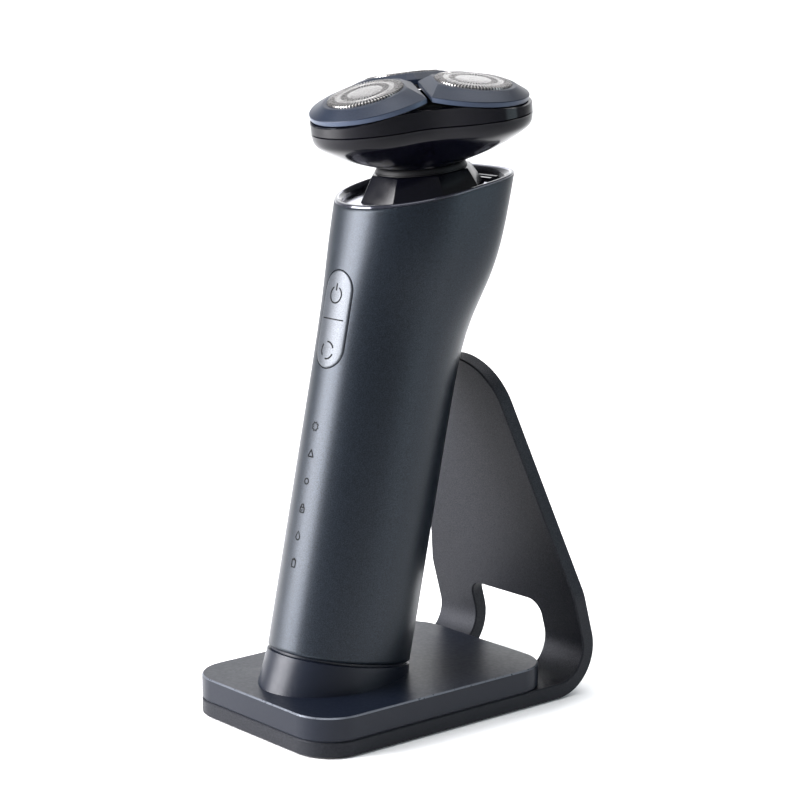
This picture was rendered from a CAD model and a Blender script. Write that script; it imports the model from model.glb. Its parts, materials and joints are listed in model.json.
import bpy
import bmesh
import json
from math import atan2, cos, pi, radians, sin, sqrt, tan, tanh
from mathutils import Matrix, Vector
from mathutils.bvhtree import BVHTree
from mathutils.geometry import delaunay_2d_cdt


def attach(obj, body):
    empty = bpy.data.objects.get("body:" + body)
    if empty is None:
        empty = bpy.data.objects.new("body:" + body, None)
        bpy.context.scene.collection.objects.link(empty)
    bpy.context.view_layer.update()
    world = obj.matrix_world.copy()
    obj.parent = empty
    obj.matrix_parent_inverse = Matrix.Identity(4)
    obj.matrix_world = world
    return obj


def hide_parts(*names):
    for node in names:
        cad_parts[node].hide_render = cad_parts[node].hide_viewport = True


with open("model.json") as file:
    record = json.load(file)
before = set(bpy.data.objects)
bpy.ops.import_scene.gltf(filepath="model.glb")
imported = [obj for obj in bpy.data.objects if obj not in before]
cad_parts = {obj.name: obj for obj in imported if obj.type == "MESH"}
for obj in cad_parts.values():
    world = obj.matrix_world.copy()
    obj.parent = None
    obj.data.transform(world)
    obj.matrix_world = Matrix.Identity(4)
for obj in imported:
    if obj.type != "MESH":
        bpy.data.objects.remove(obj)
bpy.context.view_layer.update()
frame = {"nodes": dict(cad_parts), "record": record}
MM = 0.001

# ==== frames and sizes of the CAD model, in millimetres ==========================================
STAND_W, STAND_D, FOOT_GAP, PLATE, BEND_R = 63.7, 102.3, 0.4, 4.4, 13.8
PANEL_LEAN, PANEL_L, PANEL_STRAIGHT, TONGUE_R = radians(15.5), 85.6, 13.0, 17.5
WINDOW_W, WINDOW_TOP, CORNER_R = 30.4, 8.6, 12.0
BLOCK_D, BLOCK_TOP, GROOVE = 86.5, 11.8, 0.8
LEAN, FRONT_FOOT, WALL = radians(12), (-41.2, 23.0), 1.8
RIM_FRONT, RIM_SLOPE, TRIM = 126.2, radians(22), 0.9
BUTTON_S, BUTTON_W, BUTTON_L = 94.2, 12.0, 28.0
LIGHTS_S = [25.1 + 7.75 * i for i in range(6)]
HEAD_LEAN, HEAD_CENTRE = radians(7), (7.9, 179.6)
UNIT_R, UNIT_TILT = 17.8, radians(11)
UNITS = {"front": -90, "right": 30, "left": 150}
BAND_TOP, SEAM, BOWL_FOOT = 5.1, 10.3, 22.9
HEAD_MEAN, HEAD_LOBE = 28.5, 5.6
FOIL_R, POD_REACH, POD_ARC, POD_GAP = 10.9, 15.9, 19.3, 0.6
POD_TOP_R, POD_FLAT_SPAN = 12.3, 26.0
FRONT_Y = -STAND_D / 2

# The handle's section: half width, front part and whole depth are FOOT + FLARE * flare_at(s).
HALF_FOOT, HALF_FLARE = 16.8, 4.7
NOSE_FOOT, NOSE_FLARE = 20.0, 4.0
DEPTH_FOOT, DEPTH_FLARE = 44.5, 1.3
FLARE_AT, FLARE_SPREAD = 108.5, 13.3
FRONT_POWER, BACK_POWER = 2.12, 2.1

# ==== sizes that only the visible pieces have ====================================================
SIDES, SHELL_ROWS, CHAMFER_ROW = 240, 130, 5
LOBES, BOWL_ROWS, HEAD_SHAPE, HEAD_WALL, NECK_HOLE_R = 216, 60, 0.09, 1.7, 4.7
BAND_FLOOR, UNIT_BED = 9.1, 4.45
FOIL_BARS, INNER_BARS, FOIL_SHEET = 72, 48, 0.16
PLATE_EDGE, GRID_MARGIN, GRID_X, GRID_U, GRID_U_BEND = 0.35, 1.2, 2.03, 3.0, 1.0
AZIMUTH, PITCH = radians(49.76), radians(11.0)


def turned(angle, axis):
    return Matrix.Rotation(angle, 4, axis)


def moved(x, y, z):
    return Matrix.Translation((x, y, z))


WORLD = Matrix.Identity(4)
HANDLE = moved(0, *FRONT_FOOT) @ turned(-LEAN, "X")
HEAD = moved(0, *HEAD_CENTRE) @ turned(HEAD_LEAN, "X")


def pod_frame(angle):
    return HEAD @ turned(radians(angle), "Z") @ moved(UNIT_R, 0, 0) @ turned(UNIT_TILT, "Y")


# ==== materials ==================================================================================
COLOUR_SPAN, VALUE_SPAN = (0.35, 0.65), (0.3, 0.7)


def principled(material):
    return material.node_tree.nodes["Principled BSDF"]


def shader(name, base, roughness, metallic=0.0, coat=0.0, coat_roughness=0.1, specular=0.5):
    material = bpy.data.materials.new(name)
    material.use_nodes = True
    bsdf = principled(material)
    bsdf.inputs["Base Color"].default_value = (*base, 1)
    bsdf.inputs["Roughness"].default_value = roughness
    bsdf.inputs["Metallic"].default_value = metallic
    bsdf.inputs["Coat Weight"].default_value = coat
    bsdf.inputs["Coat Roughness"].default_value = coat_roughness
    bsdf.inputs["Specular IOR Level"].default_value = specular
    return material


def node(material, kind, **inputs):
    made = material.node_tree.nodes.new(kind)
    for key, value in inputs.items():
        made.inputs[key].default_value = value
    return made


def noise(material, scale, detail=2.0):
    coords = node(material, "ShaderNodeTexCoord")
    texture = node(material, "ShaderNodeTexNoise", Scale=scale, Detail=detail)
    material.node_tree.links.new(coords.outputs["Object"], texture.inputs["Vector"])
    return texture


def grain(material, scale, height, strength):
    """Fine bump of the surface; scale is cycles per metre, height in metres."""
    links = material.node_tree.links
    texture = noise(material, scale)
    bump = node(material, "ShaderNodeBump", Strength=strength, Distance=height)
    links.new(texture.outputs["Fac"], bump.inputs["Height"])
    links.new(bump.outputs["Normal"], principled(material).inputs["Normal"])


def vary(material, socket, scale, low, high, detail=3.0):
    """Lets a noise move one socket of the shader between two values or colours."""
    links = material.node_tree.links
    texture = noise(material, scale, detail)
    target = principled(material).inputs[socket]
    if isinstance(low, tuple):
        ramp = node(material, "ShaderNodeValToRGB")
        for element, colour, position in zip(ramp.color_ramp.elements, (low, high), COLOUR_SPAN):
            element.color = (*colour, 1)
            element.position = position
        links.new(texture.outputs["Fac"], ramp.inputs["Fac"])
        links.new(ramp.outputs["Color"], target)
    else:
        spans = {"From Min": VALUE_SPAN[0], "From Max": VALUE_SPAN[1], "To Min": low, "To Max": high}
        spread = node(material, "ShaderNodeMapRange", **spans)
        links.new(texture.outputs["Fac"], spread.inputs["Value"])
        links.new(spread.outputs["Result"], target)


def make_materials():
    made = {}

    def add(slot, *args, **kwargs):
        made[slot] = shader("m_" + slot, *args, **kwargs)
        return made[slot]

    m = add("handle_paint", (0.010, 0.016, 0.022), 0.35, 0.5, specular=0.42)
    vary(m, "Base Color", 4200, (0.002, 0.004, 0.007), (0.012, 0.018, 0.027), 1.5)
    grain(m, 4200, 0.00003, 0.5)
    m = add("plate_finish", (0.006, 0.007, 0.010), 0.40, 0.4, specular=0.2)
    vary(m, "Roughness", 2600, 0.42, 0.58)
    vary(m, "Base Color", 3800, (0.003, 0.004, 0.006), (0.016, 0.017, 0.022), 1.5)
    grain(m, 3600, 0.00004, 0.6)
    m = add("dock_finish", (0.004, 0.006, 0.012), 0.36, 0.1, specular=0.22)
    vary(m, "Roughness", 900, 0.32, 0.40)
    grain(m, 5200, 0.00001, 0.12)
    m = add("dock_edge", (0.10, 0.11, 0.13), 0.3, 0.6)
    vary(m, "Roughness", 900, 0.26, 0.36)
    m = add("button_finish", (0.030, 0.036, 0.046), 0.38, 0.5, specular=0.7)
    vary(m, "Base Color", 4200, (0.014, 0.018, 0.024), (0.036, 0.042, 0.052), 1.5)
    grain(m, 5200, 0.00003, 0.3)
    m = add("trim_gloss", (0.030, 0.032, 0.045), 0.12, 0.6, 0.6, 0.06)
    vary(m, "Roughness", 700, 0.10, 0.16)
    m = add("gloss_black", (0.0015, 0.0016, 0.0035), 0.15, specular=0.18)
    vary(m, "Roughness", 260, 0.14, 0.20)
    m = add("pod_finish", (0.006, 0.010, 0.020), 0.36, 0.3, specular=0.18)
    vary(m, "Base Color", 2400, (0.005, 0.009, 0.019), (0.008, 0.013, 0.026), 2)
    grain(m, 6000, 0.00002, 0.25)
    m = add("pod_lip", (0.020, 0.032, 0.060), 0.3, 0.3)
    grain(m, 6000, 0.00002, 0.2)
    m = add("deck_mirror", (0.62, 0.62, 0.70), 0.10, 1.0)
    vary(m, "Roughness", 500, 0.08, 0.14)
    m = add("foil_steel", (0.33, 0.32, 0.315), 0.26, 1.0)
    vary(m, "Roughness", 1800, 0.20, 0.36)
    grain(m, 2600, 0.00002, 0.3)
    m = add("screw_steel", (0.52, 0.52, 0.53), 0.3, 1.0)
    vary(m, "Roughness", 1500, 0.24, 0.4)
    m = add("rubber_black", (0.004, 0.004, 0.005), 0.5, specular=0.25)
    grain(m, 4200, 0.00003, 0.5)
    m = add("board_green", (0.02, 0.13, 0.07), 0.35, 0.0, 0.4)
    vary(m, "Base Color", 900, (0.015, 0.11, 0.055), (0.03, 0.16, 0.085))
    m = add("contact_brass", (0.78, 0.58, 0.28), 0.25, 1.0)
    vary(m, "Roughness", 1800, 0.2, 0.34)
    m = add("cell_wrap", (0.05, 0.15, 0.32), 0.35, 0.0, 0.3)
    vary(m, "Roughness", 600, 0.3, 0.42)
    m = add("nickel", (0.66, 0.64, 0.60), 0.3, 1.0)
    vary(m, "Roughness", 1500, 0.24, 0.4)
    m = add("frame_grey", (0.10, 0.10, 0.11), 0.5)
    grain(m, 3200, 0.00003, 0.4)
    m = add("nylon", (0.68, 0.67, 0.62), 0.42)
    grain(m, 2400, 0.00002, 0.3)
    m = add("clear_guide", (0.85, 0.92, 0.97), 0.08)
    principled(m).inputs["Transmission Weight"].default_value = 0.9
    vary(m, "Roughness", 700, 0.06, 0.12)
    m = add("lamp_white", (0.85, 0.85, 0.80), 0.3)
    vary(m, "Roughness", 1200, 0.26, 0.36)
    m = add("switch_black", (0.02, 0.02, 0.02), 0.45)
    grain(m, 2600, 0.00002, 0.3)
    m = add("motor_steel", (0.50, 0.50, 0.52), 0.28, 1.0)
    vary(m, "Roughness", 900, 0.22, 0.36)
    m = add("armature_copper", (0.62, 0.30, 0.16), 0.35, 1.0)
    grain(m, 2400, 0.00008, 0.8)
    m = add("icon_ink", (0.001, 0.001, 0.0015), 0.7, specular=0.05)
    vary(m, "Roughness", 1500, 0.5, 0.62)
    m = add("shadow_gap", (0.004, 0.004, 0.005), 0.7)
    grain(m, 2400, 0.00002, 0.3)
    m = add("foil_dark", (0.012, 0.011, 0.011), 0.5, 0.0, specular=0.3)
    vary(m, "Roughness", 1500, 0.44, 0.6)
    return made


MATERIALS = make_materials()


# ==== mesh helpers ===============================================================================
WELD = 0.000002


def loose(name, verts, faces, place):
    """Makes an object from points in one of the millimetre frames."""
    mesh = bpy.data.meshes.new(name)
    mesh.from_pydata([(place @ Vector(v)) * MM for v in verts], [], faces)
    bm = bmesh.new()
    bm.from_mesh(mesh)
    bmesh.ops.remove_doubles(bm, verts=bm.verts, dist=WELD)
    bmesh.ops.recalc_face_normals(bm, faces=bm.faces)
    bm.to_mesh(mesh)
    bm.free()
    made = bpy.data.objects.new(name, mesh)
    bpy.context.scene.collection.objects.link(made)
    return made


def finish_piece(made, body, slot, smooth=30, nodes=()):
    """Gives an object its material and smoothing, and lets it ride on a body."""
    made.data.materials.clear()
    made.data.materials.append(MATERIALS[slot])
    made.data.shade_smooth()
    made.data.set_sharp_from_angle(angle=radians(smooth))
    if nodes:
        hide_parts(*nodes)
    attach(made, body)
    return made


def piece(name, verts, faces, place, body, slot, smooth=30, nodes=()):
    return finish_piece(loose(name, verts, faces, place), body, slot, smooth, nodes)


def stack(rings, cap_first=False, cap_last=False, loop=False, offset=0):
    """Faces between successive rings of equal length, each a closed loop."""
    verts = [v for ring in rings for v in ring]
    count = len(rings[0])
    faces = []
    pairs = [(i, i + 1) for i in range(len(rings) - 1)]
    if loop:
        pairs.append((len(rings) - 1, 0))
    for a, b in pairs:
        for i in range(count):
            j = (i + 1) % count
            faces.append((offset + a * count + i, offset + a * count + j,
                          offset + b * count + j, offset + b * count + i))
    if cap_first:
        faces.append(tuple(offset + i for i in reversed(range(count))))
    if cap_last:
        start = (len(rings) - 1) * count
        faces.append(tuple(offset + start + i for i in range(count)))
    return verts, faces


def circle(radius, z, count):
    return [(radius * cos(2 * pi * i / count), radius * sin(2 * pi * i / count), z) for i in range(count)]


def lathe(profile, count=96):
    return [circle(r, z, count) for r, z in profile]


def power(value, exponent):
    return abs(value) ** exponent * (1 if value >= 0 else -1)


def blend(a, b, amount):
    return [tuple(p + (q - p) * amount for p, q in zip(v, w)) for v, w in zip(a, b)]


def joined(*parts):
    """Several (verts, faces) as one."""
    verts, faces = [], []
    for v, f in parts:
        faces += [tuple(i + len(verts) for i in face) for face in f]
        verts += list(v)
    return verts, faces


# ==== handle =====================================================================================
# Points are (x, depth from the front edge t, distance along the axis s).
def flare_at(s):
    return 0.5 * (1 + tanh((s - FLARE_AT) / FLARE_SPREAD))


def handle_point(turn, s, inset=0.0):
    flare = flare_at(s)
    half = HALF_FOOT + HALF_FLARE * flare - inset
    nose = NOSE_FOOT + NOSE_FLARE * flare
    depth = DEPTH_FOOT + DEPTH_FLARE * flare
    if sin(turn) < 0:
        exponent, reach = 2 / FRONT_POWER, nose - inset
    else:
        exponent, reach = 2 / (BACK_POWER + BACK_POWER * flare), depth - nose - inset
    return half * power(cos(turn), exponent), nose + reach * power(sin(turn), exponent)


def handle_ring(s, inset=0.0):
    return [(*handle_point(2 * pi * i / SIDES, s, inset), s) for i in range(SIDES)]


def rim_ring(inset, drop):
    """Ring on the handle's form where the lowered rim plane cuts it."""
    ring = []
    for i in range(SIDES):
        turn = 2 * pi * i / SIDES
        s = RIM_FRONT
        for _ in range(6):
            x, t = handle_point(turn, s, inset)
            s = RIM_FRONT - drop + t * tan(RIM_SLOPE)
        ring.append((x, t, s))
    return ring


def front_t(x, s):
    """Depth of the handle's front surface at x."""
    flare = flare_at(s)
    half, nose = HALF_FOOT + HALF_FLARE * flare, NOSE_FOOT + NOSE_FLARE * flare
    return nose - nose * (1 - (abs(x) / half) ** FRONT_POWER) ** (1 / FRONT_POWER)


def side_rows(inset):
    """Rings of the shell's side, from the foot up to the rim."""
    top = rim_ring(inset, TRIM)
    made = []
    for j in range(SHELL_ROWS + 1):
        ring = []
        for i in range(SIDES):
            s = top[i][2] * j / SHELL_ROWS
            x, t = handle_point(2 * pi * i / SIDES, s, inset)
            ring.append((x, t, s))
        made.append(ring)
    return made


def stadium(width, length, steps=20):
    """Closed outline (x, z) of an upright stadium."""
    r = width / 2
    straight = length / 2 - r
    points = [(r * cos(pi * i / steps), straight + r * sin(pi * i / steps)) for i in range(steps + 1)]
    return points + [(-x, -z) for x, z in points]


def stadium_prism(width, length, low, high):
    outline = stadium(width, length)
    return stack([[(x, low, BUTTON_S + z) for x, z in outline],
                  [(x, high, BUTTON_S + z) for x, z in outline]], True, True)


def cut(target, tool):
    """Takes the tool's volume out of the target, and removes the tool."""
    modifier = target.modifiers.new("cut", "BOOLEAN")
    modifier.operation = "DIFFERENCE"
    modifier.solver = "EXACT"
    modifier.object = tool
    depsgraph = bpy.context.evaluated_depsgraph_get()
    mesh = bpy.data.meshes.new_from_object(target.evaluated_get(depsgraph))
    target.modifiers.clear()
    target.data = mesh
    bpy.data.objects.remove(tool)


def keep_normals(mesh, base):
    """Gives a cut mesh the smooth normals of the uncut one wherever it still follows it."""
    near, aligned = 0.00002, 0.8
    tree = BVHTree.FromPolygons([v.co for v in base.vertices], [p.vertices for p in base.polygons])
    normals = []
    for polygon in mesh.polygons:
        for index in polygon.vertices:
            place, _, face, distance = tree.find_nearest(mesh.vertices[index].co)
            smooth = Vector()
            for v in base.polygons[face].vertices:
                gap = (base.vertices[v].co - place).length
                smooth += base.vertices[v].normal / (gap + near)
            smooth.normalize()
            follows = distance < near and smooth.dot(polygon.normal) > aligned
            normals.append(smooth if follows else polygon.normal)
    mesh.shade_smooth()
    mesh.normals_split_custom_set([tuple(n) for n in normals])


def build_shell():
    rings = [handle_ring(0.0, 0.3), handle_ring(0.35), *side_rows(0.0)[1:], *reversed(side_rows(WALL))]
    shell = loose("handle_shell_visual", *stack(rings, loop=True), HANDLE)
    shell.data.shade_smooth()
    uncut = shell.data
    cut(shell, loose("tool", *stadium_prism(BUTTON_W, BUTTON_L, -4, 8), HANDLE))
    keep_normals(shell.data, uncut)
    shell.data.materials.clear()
    shell.data.materials.append(MATERIALS["handle_paint"])
    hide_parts("handle_shell")
    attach(shell, "handle")


def build_button():
    """Oval rocker that follows the shell's curve, with a rounded edge."""
    def ring(inset, proud):
        outline = stadium(BUTTON_W - 2 * inset, BUTTON_L - 2 * inset, 24)
        return [(x, front_t(x, BUTTON_S + z) - proud, BUTTON_S + z) for x, z in outline]

    edge = [(0.25, -0.9), (0.25, -0.15), (0.32, 0.02), (0.5, 0.12), (0.9, 0.16), (2.0, 0.17), (3.6, 0.18),
            (5.0, 0.18)]
    rings = [ring(inset, proud) for inset, proud in edge]
    cap = piece("rocker_cap", *stack(rings, cap_last=True), HANDLE, "button", "button_finish", 40)
    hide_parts("rocker_button")
    well = [ring(inset, -1.55) for inset in (-0.3, 0.6, 5.8)]
    piece("button_well", *stack(well, cap_last=True), HANDLE, "handle", "shadow_gap")


def build_rim():
    """Rim over the shell's end; the row that slopes inwards is the bright one."""
    profile = [(0.25, TRIM), (0.12, TRIM - 0.12), (0.10, 0.30), (0.22, 0.08), (0.45, 0.0), (0.8, 0.0),
               (1.1, 0.22), (2.05, 0.95), (2.2, 1.15), (2.25, 2.5)]
    rings = [rim_ring(inset, drop) for inset, drop in profile]
    trim = piece("rim_trim", *stack(rings), HANDLE, "handle", "trim_gloss", 20, ("trim_rim",))
    trim.data.materials.append(MATERIALS["deck_mirror"])
    for polygon in trim.data.polygons:
        polygon.material_index = int(polygon.index // SIDES == CHAMFER_ROW)


def build_deck():
    """The floor inside the rim, two small steps on it, the pedestal and the rubber neck ring."""
    floor_drop, crown_k, bevel = 2.4, 24.75, 0.00035
    base = moved(0, 0, RIM_FRONT - floor_drop) @ turned(RIM_SLOPE, "X")
    to_handle = HANDLE.inverted() @ HEAD
    low = [(7.0, 9.5), (17.6, 20.5), (17.4, 34.0), (12.0, 41.0)]
    high = [(5.6, -13.6), (13.6, -5.6), (13.6, 5.6), (5.6, 13.6)]
    low += [(-x, y) for x, y in reversed(low)]
    high += [(-x, y) for x, y in reversed(high)]
    foot = [tuple(base @ Vector((x, y, -0.6))) for x, y in low]
    crown = [tuple(to_handle @ Vector((x, y, -crown_k))) for x, y in high]
    pedestal = loose("deck_pedestal", *stack([foot, crown], True, True), HANDLE)
    bm = bmesh.new()
    bm.from_mesh(pedestal.data)
    bmesh.ops.bevel(bm, geom=list(bm.edges), offset=bevel, segments=3, affect="EDGES", profile=0.6)
    bm.to_mesh(pedestal.data)
    bm.free()
    finish_piece(pedestal, "handle", "gloss_black", 25, ("top_deck",))
    slab = [rim_ring(2.2, floor_drop), rim_ring(2.2, 4.2)]
    deck = piece("deck_floor", *stack(slab, True, True), HANDLE, "handle", "deck_mirror")
    for index, y in enumerate((43.0, 45.3)):
        rings = [[tuple(base @ Vector((x, y + side * half, z)))
                  for x, side in ((-12, -1), (12, -1), (12, 1), (-12, 1))]
                 for z, half in ((0, 0.6), (0.7, 0.4))]
        piece(f"deck_step_{index}", *stack(rings, True, True), HANDLE, "handle", "trim_gloss")
    profile = [(12.1, -23.0), (12.4, -23.1), (12.7, -23.5), (12.95, -24.1), (13.05, -24.3), (12.9, -24.4),
               (13.1, -24.5), (13.15, -24.65), (13.1, -crown_k), (9.2, -crown_k), (9.2, -23.2)]
    rings = lathe(profile, 120)
    piece("neck_ring", *stack(rings, loop=True), HEAD, "handle", "rubber_black", 40, ("neck_collar",))


def build_foot():
    """Recessed shadow joint between collar and shell, and the plug below it."""
    profile = [(-6.4, 3.3), (-6.1, 3.0), (-GROOVE, 3.0), (-GROOVE, 1.0), (0.0, 1.0), (0.02, 2.2)]
    rings = [handle_ring(s, inset) for s, inset in profile]
    piece("foot_plug", *stack(rings, True, True), HANDLE, "handle", "dock_finish", 30, ("bottom_cap",))


# ==== icons ======================================================================================
ARC_STEPS = 28


def ribbon(path, width, closed):
    """Flat strip along a path of (x, z) points."""
    count = len(path)
    left, right = [], []
    for i in range(count):
        a = path[(i - 1) % count] if closed or i else path[i]
        b = path[(i + 1) % count] if closed or i < count - 1 else path[i]
        dx, dz = b[0] - a[0], b[1] - a[1]
        size = sqrt(dx * dx + dz * dz)
        nx, nz = -dz / size * width / 2, dx / size * width / 2
        left.append((path[i][0] + nx, path[i][1] + nz))
        right.append((path[i][0] - nx, path[i][1] - nz))
    spans = range(count if closed else count - 1)
    return left + right, [(i, (i + 1) % count, count + (i + 1) % count, count + i) for i in spans]


def arc(radius, start, end, centre=(0, 0)):
    turns = [radians(start + (end - start) * i / ARC_STEPS) for i in range(ARC_STEPS + 1)]
    return [(centre[0] + radius * cos(turn), centre[1] + radius * sin(turn)) for turn in turns]


def segment(a, b, steps=6):
    return [(a[0] + (b[0] - a[0]) * i / steps, a[1] + (b[1] - a[1]) * i / steps) for i in range(steps + 1)]


def corners(*points):
    path = []
    for a, b in zip(points, points[1:]):
        path += segment(a, b, 5)[:-1]
    return path + [points[-1]]


def icon(name, s, strokes, width, body, proud):
    """Thin raised strokes on the handle's front, centred at height s."""
    parts = []
    for stroke in strokes:
        (ax, az), (bx, bz) = stroke[0], stroke[-1]
        closed = len(stroke) > 3 and abs(ax - bx) + abs(az - bz) < 1e-6
        flat, faces = ribbon(stroke[:-1] if closed else stroke, width, closed)
        top = [(x, front_t(x, s + z) - proud, s + z) for x, z in flat]
        under = [(x, y + 0.06, z) for x, y, z in top]
        count = len(top)
        sides = [tuple(reversed([i + count for i in face])) for face in faces]
        parts.append((top + under, [*faces, *sides]))
    piece(name, *joined(*parts), HANDLE, body, "icon_ink")


def build_icons():
    power_icon = [arc(2.3, 118, 422), segment((0, 1.2), (0, 3.3))]
    mode_icon = [arc(2.4, 20, 100), arc(2.4, 140, 220), arc(2.4, 260, 340)]
    divider = [segment((-4.3, 0), (4.3, 0), 16)]
    icon("icon_power", 101.0, power_icon, 0.42, "button", 0.23)
    icon("icon_mode", 85.4, mode_icon, 0.42, "button", 0.23)
    icon("icon_divider", BUTTON_S, divider, 0.34, "button", 0.23)
    gear = []
    for i in range(16):
        radius, turn = 1.35 if i % 2 else 0.95, pi * i / 8 + 0.1
        gear.append((radius * cos(turn), radius * sin(turn)))
    bell = corners((-1.15, -0.8), (1.15, -0.8), (0.0, 1.2), (-1.15, -0.8))
    lock = [corners((-0.85, -1.1), (0.85, -1.1), (0.85, 0.3), (-0.85, 0.3), (-0.85, -1.1)),
            [(-0.5, 0.3), *arc(0.5, 180, 0, (0, 0.75)), (0.5, 0.3)], segment((0, -0.7), (0, -0.15), 2)]
    drop = [(0.0, 1.35), *arc(0.8, 25, -205, (0, -0.35)), (0.0, 1.35)]
    cell = [corners((-0.75, -1.15), (0.75, -1.15), (0.75, 0.95), (-0.75, 0.95), (-0.75, -1.15)),
            segment((-0.35, 1.25), (0.35, 1.25), 3)]
    small = [("icon_cell", cell), ("icon_drop", [drop]), ("icon_lock", lock),
             ("icon_ring", [arc(0.8, 0, 360)]), ("icon_bell", [bell]), ("icon_gear", [gear + gear[:1]])]
    for (name, strokes), s in zip(small, LIGHTS_S):
        icon(name, s, strokes, 0.36, "handle", 0.06)


# ==== head =======================================================================================
def head_ring(mean, lobe, k, inset=0.0):
    """Three-lobed ring at depth k under the head's top."""
    ring = []
    for i in range(LOBES):
        turn = 2 * pi * i / LOBES
        third = 3 * (turn + pi / 2)
        radius = mean - inset + lobe * cos(third) - HEAD_SHAPE * lobe * cos(2 * third)
        ring.append((radius * cos(turn), radius * sin(turn), -k))
    return ring


def side_ring(k, inset=0.0):
    return head_ring(HEAD_MEAN, HEAD_LOBE, k, inset)


BOWL = [(HEAD_MEAN, HEAD_LOBE, SEAM), (27.5, 5.5, 13.7), (22.8, 5.2, 17.0), (18.4, 4.0, 19.6),
        (14.2, 1.4, 21.9), (12.4, 0.0, BOWL_FOOT)]


def bowl_row(amount):
    """Smooth interpolation through the bowl's rows."""
    place = amount * (len(BOWL) - 1)
    i = min(int(place), len(BOWL) - 2)
    f = place - i
    rows = [BOWL[max(i - 1, 0)], BOWL[i], BOWL[i + 1], BOWL[min(i + 2, len(BOWL) - 1)]]
    return [0.5 * (2 * b + (c - a) * f + (2 * a - 5 * b + 4 * c - d) * f * f
                   + (3 * b - a - 3 * c + d) * f ** 3) for a, b, c, d in zip(*rows)]


def build_bowl():
    rings = [side_ring(SEAM + 0.02, 1.6), side_ring(SEAM + 0.02, 0.25), side_ring(SEAM + 0.22, 0.02)]
    rings += [head_ring(*bowl_row(i / BOWL_ROWS)) for i in range(2, BOWL_ROWS + 1)]
    rings += [circle(NECK_HOLE_R, k, LOBES) for k in (-BOWL_FOOT, HEAD_WALL - BOWL_FOOT)]
    rings += [head_ring(*row, HEAD_WALL) for row in reversed(BOWL[:-1])]
    piece("bowl", *stack(rings, loop=True), HEAD, "head_base", "gloss_black", 35, ("head_bowl",))


def band_top(x, y):
    """Depth of the band's upper edge under the nearest shaving unit."""
    angle = atan2(y, x)
    nearest = min(UNITS.values(), key=lambda a: abs((angle - radians(a) + pi) % (2 * pi) - pi))
    out = x * cos(radians(nearest)) + y * sin(radians(nearest))
    plane = (UNIT_BED + (out - UNIT_R) * sin(UNIT_TILT)) / cos(UNIT_TILT)
    return max(BAND_TOP, plane)


def build_band():
    def at_top(ring, drop):
        return [(x, y, -(band_top(x, y) + drop)) for x, y, _ in ring]

    foot, shoulder = side_ring(SEAM - 0.05, 0.25), side_ring(SEAM - 0.22, 0.02)
    top, floor = at_top(side_ring(SEAM), 0.15), side_ring(BAND_FLOOR, HEAD_WALL)
    rings = [foot, shoulder] + [blend(shoulder, top, i / 6) for i in range(1, 7)]
    rings += [at_top(side_ring(SEAM, 0.18), 0.0), at_top(side_ring(SEAM, HEAD_WALL), 0.0), floor]
    faces = joined(stack(rings), stack([floor, foot], True, True))
    piece("band", *faces, HEAD, "head_frame", "gloss_black", 35, ("head_frame",))


# ---- shaving units ----
def pod_lip(z, inset=0.0):
    lean = radians(60)
    gap = POD_GAP + inset
    tip = gap / sin(lean) - (UNIT_R + z * sin(UNIT_TILT))
    centre = POD_REACH - POD_ARC
    radius = POD_ARC - inset
    back = (centre - tip) * cos(lean)
    reach = back + sqrt(back ** 2 - (centre - tip) ** 2 + radius ** 2)
    corner = (tip + reach * cos(lean), reach * sin(lean))
    blunt = (tip + 1.8 * cos(lean), 1.8 * sin(lean))
    first = atan2(corner[1], corner[0] - centre)
    turns = [first * (i / 36 - 1) for i in range(73)]
    path = [(centre + radius * cos(turn), radius * sin(turn)) for turn in turns]
    path += segment(corner, blunt, 24)[1:] + segment(blunt, (blunt[0], -blunt[1]), 4)[1:]
    path += segment((blunt[0], -blunt[1]), (corner[0], -corner[1]), 24)[1:-1]
    return [(x, y, z) for x, y in path]


def pod_crown(z, inset=0.0):
    radius = POD_TOP_R - inset

    def at(angle):
        return radius * cos(radians(angle)), radius * sin(radians(angle))

    first, last = 150 - POD_FLAT_SPAN, 150 + POD_FLAT_SPAN
    path = [at(first * (i / 36 - 1)) for i in range(73)]
    path += segment(at(first), at(last), 24)[1:] + segment(at(last), at(-last), 4)[1:]
    path += segment(at(-last), at(-first), 24)[1:-1]
    return [(x, y, z) for x, y in path]


def round_ring(radius, z):
    """Circle with one point for each point of the crown."""
    ring = []
    for x, y, _ in pod_crown(0):
        size = sqrt(x * x + y * y)
        ring.append((x / size * radius, y / size * radius, z))
    return ring


def build_pod(name, angle):
    lip, crown = pod_lip(-2.8), pod_crown(-0.6)
    rings = [round_ring(12.1, -4.2), pod_lip(-4.2, 0.12), pod_lip(-4.08), pod_lip(-2.92)]
    rings += [blend(lip, crown, 0.04)] + [blend(lip, crown, i / 6) for i in range(1, 6)]
    rings += [blend(lip, crown, 0.96), pod_crown(-0.6, 0.12), round_ring(FOIL_R + 0.1, -0.6),
              round_ring(FOIL_R + 0.05, -1.8), round_ring(12.1, -1.85)]
    place = pod_frame(angle)
    cover = piece(f"unit_cover_{name}", *stack(rings, loop=True), place, f"pod_{name}", "pod_finish", 15,
                  (f"pod_cover_{name}",))
    # The faces of the outer side are a little lighter than the top.
    cover.data.materials.append(MATERIALS["pod_lip"])
    axis, middle = place.to_3x3() @ Vector((0, 0, 1)), place.translation * MM
    for polygon in cover.data.polygons:
        outwards = polygon.center - middle
        side_on = abs(polygon.normal.dot(axis)) < 0.3 and outwards.dot(polygon.normal) > 0
        polygon.material_index = int(side_on)


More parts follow.
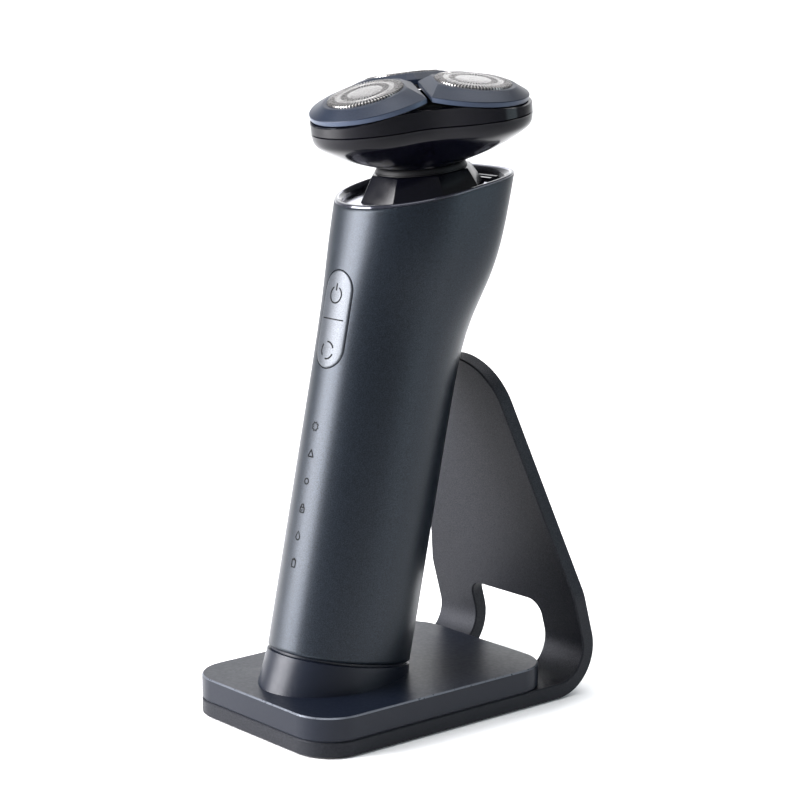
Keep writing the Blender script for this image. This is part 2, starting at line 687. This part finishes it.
def bars(count, path, width):
    """Radial bars along a path of (r, z) points, one every 360/count degrees."""
    parts = []
    for i in range(count):
        turn = 2 * pi * i / count
        c, s = cos(turn), sin(turn)
        rings = []
        for r, z in path:
            w = width * r / path[0][0] / 2
            rings.append([(r * c + y * s, r * s - y * c, h) for y, h in
                          ((-w, z), (w, z), (w, z - FOIL_SHEET), (-w, z - FOIL_SHEET))])
        parts.append(stack(rings, True, True))
    return joined(*parts)


def build_foil(name, angle):
    """Two slotted rings, the grooved land between them, the middle cap and the skirt."""
    place, body = pod_frame(angle), f"pod_{name}"
    land = [(8.55, -0.25), (8.55, -0.02), (8.45, 0.0), (8.25, 0.0), (8.15, -0.06), (7.95, -0.10),
            (7.75, -0.06), (7.65, 0.0), (7.05, 0.0), (6.95, -0.02), (6.95, -0.25)]
    cap = [(5.05, -0.25), (5.05, -0.02), (4.95, 0.0), (4.1, 0.0), (3.95, 0.05), (3.7, 0.07), (0.02, 0.07)]
    skirt = [(FOIL_R - 0.2, -0.95), (FOIL_R, -0.95), (FOIL_R, -2.1), (12.0, -2.15), (12.0, -2.2),
             (10.6, -2.2)]
    parts = [stack(lathe(land)), stack(lathe(cap), cap_last=True), stack(lathe(skirt))]
    outer_path = [(8.5, 0.0), (9.6, 0.0), (10.35, -0.04), (10.72, -0.18), (10.88, -0.45), (10.9, -1.05)]
    parts.append(bars(FOIL_BARS, outer_path, 0.32))
    parts.append(bars(INNER_BARS, [(5.0, 0.0), (7.0, 0.0)], 0.28))
    piece(f"unit_foil_{name}", *joined(*parts), place, body, "foil_steel", 35, (f"foil_{name}",))
    bed = [(10.62, -1.2), (10.6, -0.55), (10.3, -0.38), (9.6, -0.33), (0.02, -0.33)]
    piece(f"unit_track_{name}", *stack(lathe(bed), cap_last=True), place, body, "foil_dark", 35)


# ==== stand ======================================================================================
def sheet_point(u, x, offset):
    """Point of the bent plate: u along its middle face from the front edge, offset across it."""
    middle = BEND_R - PLATE / 2
    rear = STAND_D - BEND_R
    bend = middle * (pi / 2 + PANEL_LEAN)
    if u <= rear:
        y, z, ny, nz = u, PLATE / 2, 0.0, 1.0
    elif u <= rear + bend:
        a = (u - rear) / middle
        y, z, ny, nz = rear + middle * sin(a), BEND_R - middle * cos(a), -sin(a), cos(a)
    else:
        a = pi / 2 + PANEL_LEAN
        run = u - rear - bend
        y = rear + middle * sin(a) + run * cos(a)
        z = BEND_R - middle * cos(a) + run * sin(a)
        ny, nz = -sin(a), cos(a)
    return (x, FRONT_Y + y + ny * offset, FOOT_GAP + z + nz * offset)


def rounded(points, radii, steps=10):
    """Closed polygon with each corner rounded by its radius."""
    made = []
    for i, (p, r) in enumerate(zip(points, radii)):
        a, b = Vector(points[i - 1]), Vector(points[(i + 1) % len(points)])
        p = Vector(p)
        if r == 0:
            made.append(tuple(p))
            continue
        da, db = (a - p).normalized(), (b - p).normalized()
        half = da.angle(db) / 2
        centre = p + (da + db).normalized() * (r / sin(half))
        start, end = p + da * (r / tan(half)), p + db * (r / tan(half))
        first = atan2(start.y - centre.y, start.x - centre.x)
        span = (atan2(end.y - centre.y, end.x - centre.x) - first + pi) % (2 * pi) - pi
        turns = [first + span * j / steps for j in range(steps + 1)]
        made += [(centre.x + r * cos(turn), centre.y + r * sin(turn)) for turn in turns]
    return made


def dense(loop, step):
    made = []
    for i, a in enumerate(loop):
        b = loop[(i + 1) % len(loop)]
        size = sqrt((b[0] - a[0]) ** 2 + (b[1] - a[1]) ** 2)
        count = max(1, int(size / step))
        made += segment(a, b, count)[:-1]
    return made


def inside(point, loop):
    hit = False
    for i, (ax, ay) in enumerate(loop):
        bx, by = loop[i - 1]
        if (ay > point[1]) != (by > point[1]) and point[0] < (bx - ax) * (point[1] - ay) / (by - ay) + ax:
            hit = not hit
    return hit


def inset_loop(loop, amount):
    made = []
    for i, p in enumerate(loop):
        a, b = loop[i - 1], loop[(i + 1) % len(loop)]
        dx, dy = b[0] - a[0], b[1] - a[1]
        size = sqrt(dx * dx + dy * dy)
        made.append((p[0] - dy / size * amount, p[1] + dx / size * amount))
    return made


def build_plate():
    """One bent sheet: a flat outline with its window, meshed flat and then folded."""
    middle = BEND_R - PLATE / 2
    rear = STAND_D - BEND_R
    panel_u = rear + middle * (pi / 2 + PANEL_LEAN)
    half = STAND_W / 2
    centre = PANEL_L - TONGUE_R
    start = atan2(half - TONGUE_R, centre - PANEL_STRAIGHT)
    turns = [start + (pi - 2 * start) * i / 30 for i in range(31)]
    tip = [(TONGUE_R * cos(turn), panel_u + centre + TONGUE_R * sin(turn)) for turn in turns]
    shoulder = panel_u + PANEL_STRAIGHT
    outline = rounded([(-half, 0), (half, 0), (half, shoulder), *tip, (-half, shoulder)],
                      [CORNER_R, CORNER_R, 14, *[0] * len(tip), 14])
    outline = dense(outline, 1.2)
    low_u, high_u = BLOCK_D + 1.5, panel_u + WINDOW_TOP
    w = WINDOW_W / 2
    window = dense(rounded([(-w, low_u), (w, low_u), (w, high_u), (-w, high_u)], [0.6, 0.6, 4.5, 4.5]), 1.0)
    inner_outline, inner_window = inset_loop(outline, PLATE_EDGE), inset_loop(window, -PLATE_EDGE)
    points = list(inner_outline) + list(inner_window)
    loops = [list(range(len(inner_outline))),
             list(range(len(inner_outline), len(inner_outline) + len(inner_window)))]
    edges = [(loop[i - 1], loop[i]) for loop in loops for i in range(len(loop))]
    field, opening = inset_loop(outline, GRID_MARGIN), inset_loop(window, -GRID_MARGIN)
    u = 1.5
    while u < panel_u + PANEL_L - 1:
        x = -half + 1.5
        while x < half - 1:
            if inside((x, u), field) and not inside((x, u), opening):
                points.append((x, u))
            x += GRID_X
        u += GRID_U_BEND if rear - 2 < u < panel_u + 2 else GRID_U
    flat, _, triangles, *_ = delaunay_2d_cdt([Vector(p) for p in points], edges, [], 1, 1e-6)

    def on_sheet(triangle):
        place = (sum(flat[i].x for i in triangle) / 3, sum(flat[i].y for i in triangle) / 3)
        return inside(place, inner_outline) and not inside(place, inner_window)

    triangles = [triangle for triangle in triangles if on_sheet(triangle)]
    verts, faces = [], []
    for side in (1, -1):
        first = len(verts)
        verts += [sheet_point(p.y, p.x, side * PLATE / 2) for p in flat]
        faces += [tuple(first + i for i in (t if side > 0 else reversed(t))) for t in triangles]
    face, shoulder = PLATE / 2, PLATE / 2 - PLATE_EDGE
    for inner, outer in ((inner_outline, outline), (inner_window, window)):
        rows = ((inner, face), (outer, shoulder), (outer, -shoulder), (inner, -face))
        rings = [[sheet_point(q, p, h) for p, q in loop] for loop, h in rows]
        ring_verts, ring_faces = stack(rings, offset=len(verts))
        verts += ring_verts
        faces += ring_faces
    piece("bent_plate", verts, faces, WORLD, "stand", "plate_finish", 32, ("stand_plate",))


def block_ring(z, inset=0.0):
    half, r = STAND_W / 2 - inset, CORNER_R - inset
    loop = rounded([(-half, FRONT_Y + inset), (half, FRONT_Y + inset), (half, FRONT_Y + BLOCK_D - inset),
                    (-half, FRONT_Y + BLOCK_D - inset)], [r] * 4, 16)
    return [(x, y, z) for x, y in loop]


def build_block():
    """The dock's flat block and the collar that the handle stands in."""
    low = FOOT_GAP + PLATE
    profile = [(low + 0.02, 1.0), (low + 0.02, 0.45), (low + 0.45, 0.3), (low + 0.6, 0.0),
               (BLOCK_TOP - 0.4, 0.0), (BLOCK_TOP, 0.4), (BLOCK_TOP, 1.2)]
    rings = [block_ring(z, inset) for z, inset in profile]
    block = loose("dock_block", *stack(rings, True, True), WORLD)
    to_handle = HANDLE.inverted()
    nose, tail, half = FRONT_Y + 5.8, FRONT_Y + 53.8, 17.4
    middle = nose + 21
    foot = []
    for i in range(SIDES):
        turn = 2 * pi * i / SIDES
        reach = middle - nose if sin(turn) < 0 else tail - middle
        place = Vector((half * cos(turn), middle + reach * sin(turn), BLOCK_TOP - 0.3))
        foot.append(tuple(to_handle @ place))
    top = handle_ring(-GROOVE)
    rings = [foot] + [blend(foot, top, i / 12) for i in range(1, 12)] + [blend(foot, top, 0.985)]
    rings += [handle_ring(-GROOVE, 0.25), handle_ring(-GROOVE, 2.6), handle_ring(-GROOVE - 6.1, 2.6)]
    piece("dock_collar", *stack(rings, cap_last=True), HANDLE, "stand", "dock_finish", 35)
    well = loose("tool", *stack([handle_ring(-GROOVE - 6.4, 2.8), handle_ring(4, 2.8)], True, True), HANDLE)
    cut(block, well)
    mouth = rounded([(-4.7, 6.15), (4.7, 6.15), (4.7, 9.85), (-4.7, 9.85)], [1.6] * 4)
    port = [[(x, FRONT_Y + BLOCK_D + depth, z) for x, z in mouth] for depth in (-7, 3)]
    cut(block, loose("tool", *stack(port, True, True), WORLD))
    finish_piece(block, "stand", "dock_finish", 30, ("dock_housing",))
    block.data.materials.append(MATERIALS["dock_edge"])
    edge_low = (BLOCK_TOP - 0.6) * MM
    for polygon in block.data.polygons:
        polygon.material_index = int(0.5 < polygon.normal.z < 0.9 and polygon.center.z > edge_low)


# ==== carried-over CAD nodes =====================================================================
def dress_nodes():
    """Every CAD node gets the material of its slot."""
    slots = {entry["node"]: entry["material_slot"] for entry in frame["record"]["subparts"]}
    for name, cad in frame["nodes"].items():
        cad.data.materials.clear()
        cad.data.materials.append(MATERIALS[slots[name]])


# ==== stage ======================================================================================
def build_stage():
    """White floor that sweeps up behind the object, and a dim even sky."""
    start, radius = 1.2, 0.8
    turns = [radians(9 * i) for i in range(1, 11)]
    profile = [(-3, 0), (start, 0)]
    profile += [(start + radius * sin(turn), radius - radius * cos(turn)) for turn in turns]
    profile.append((start + radius, 4))
    count = len(profile)
    verts = [(x, y, z) for x in (-3, 3) for y, z in profile]
    mesh = bpy.data.meshes.new("backdrop")
    mesh.from_pydata(verts, [], [(i, i + 1, count + i + 1, count + i) for i in range(count - 1)])
    floor = bpy.data.objects.new("backdrop", mesh)
    floor.rotation_euler = (0, 0, AZIMUTH)
    bpy.context.scene.collection.objects.link(floor)
    paper = shader("paper", (0.90, 0.90, 0.905), 0.85)
    grain(paper, 400, 0.0001, 0.2)
    mesh.materials.append(paper)
    mesh.shade_smooth()

    world = bpy.data.worlds.new("studio")
    bpy.context.scene.world = world
    world.use_nodes = True
    sky = world.node_tree.nodes["Background"]
    sky.inputs["Color"].default_value = (0.93, 0.96, 1.0, 1)
    sky.inputs["Strength"].default_value = 0.38


def area_light(name, place, target, size, watts, colour=(1, 1, 1)):
    data = bpy.data.lights.new(name, "AREA")
    data.shape = "RECTANGLE"
    data.size, data.size_y = size
    data.energy = watts
    data.color = colour
    lamp = bpy.data.objects.new(name, data)
    lamp.location = place
    lamp.rotation_euler = (Vector(target) - Vector(place)).to_track_quat("-Z", "Y").to_euler()
    bpy.context.scene.collection.objects.link(lamp)


def build_lights():
    """Places are (right, ahead, up) from the object as the camera sees it."""
    right = Vector((cos(AZIMUTH), sin(AZIMUTH), 0))
    ahead = Vector((-sin(AZIMUTH), cos(AZIMUTH), 0))

    def at(across, away, up):
        return right * across + ahead * away + Vector((0, 0, up))

    middle = (0, 0, 0.09)
    area_light("key", at(-0.80, -0.16, 0.30), middle, (0.58, 0.85), 38.0, (1.0, 0.985, 1.0))
    area_light("fill", at(0.95, -0.20, 0.30), middle, (0.45, 0.70), 2.4, (0.75, 0.93, 1.0))
    area_light("top", at(0.0, -0.25, 1.10), middle, (0.8, 0.8), 4.5)
    area_light("backdrop_light", at(0.0, 0.60, 1.50), at(0.0, 1.9, 0.5), (2.4, 0.5), 26.0)
    area_light("floor_light", at(0.0, 0.35, 1.0), at(0.0, 0.9, 0.0), (1.6, 0.5), 9.0)


def build_camera():
    ahead = Vector((-sin(AZIMUTH) * cos(PITCH), cos(AZIMUTH) * cos(PITCH), -sin(PITCH)))
    right = Vector((cos(AZIMUTH), sin(AZIMUTH), 0))
    up = right.cross(ahead)
    data = bpy.data.cameras.new("camera")
    data.lens, data.sensor_width = 108, 36
    camera = bpy.data.objects.new("camera", data)
    basis = Matrix((right, up, -ahead)).transposed().to_4x4()
    camera.matrix_world = Matrix.Translation((0.5157, -0.4334, 0.2204)) @ basis
    bpy.context.scene.collection.objects.link(camera)
    bpy.context.scene.camera = camera


dress_nodes()
build_shell()
build_button()
build_rim()
build_deck()
build_foot()
build_icons()
build_bowl()
build_band()
for unit, direction in UNITS.items():
    build_pod(unit, direction)
    build_foil(unit, direction)
build_plate()
build_block()
build_stage()
build_lights()
build_camera()
bpy.context.scene.view_settings.view_transform = "Standard"
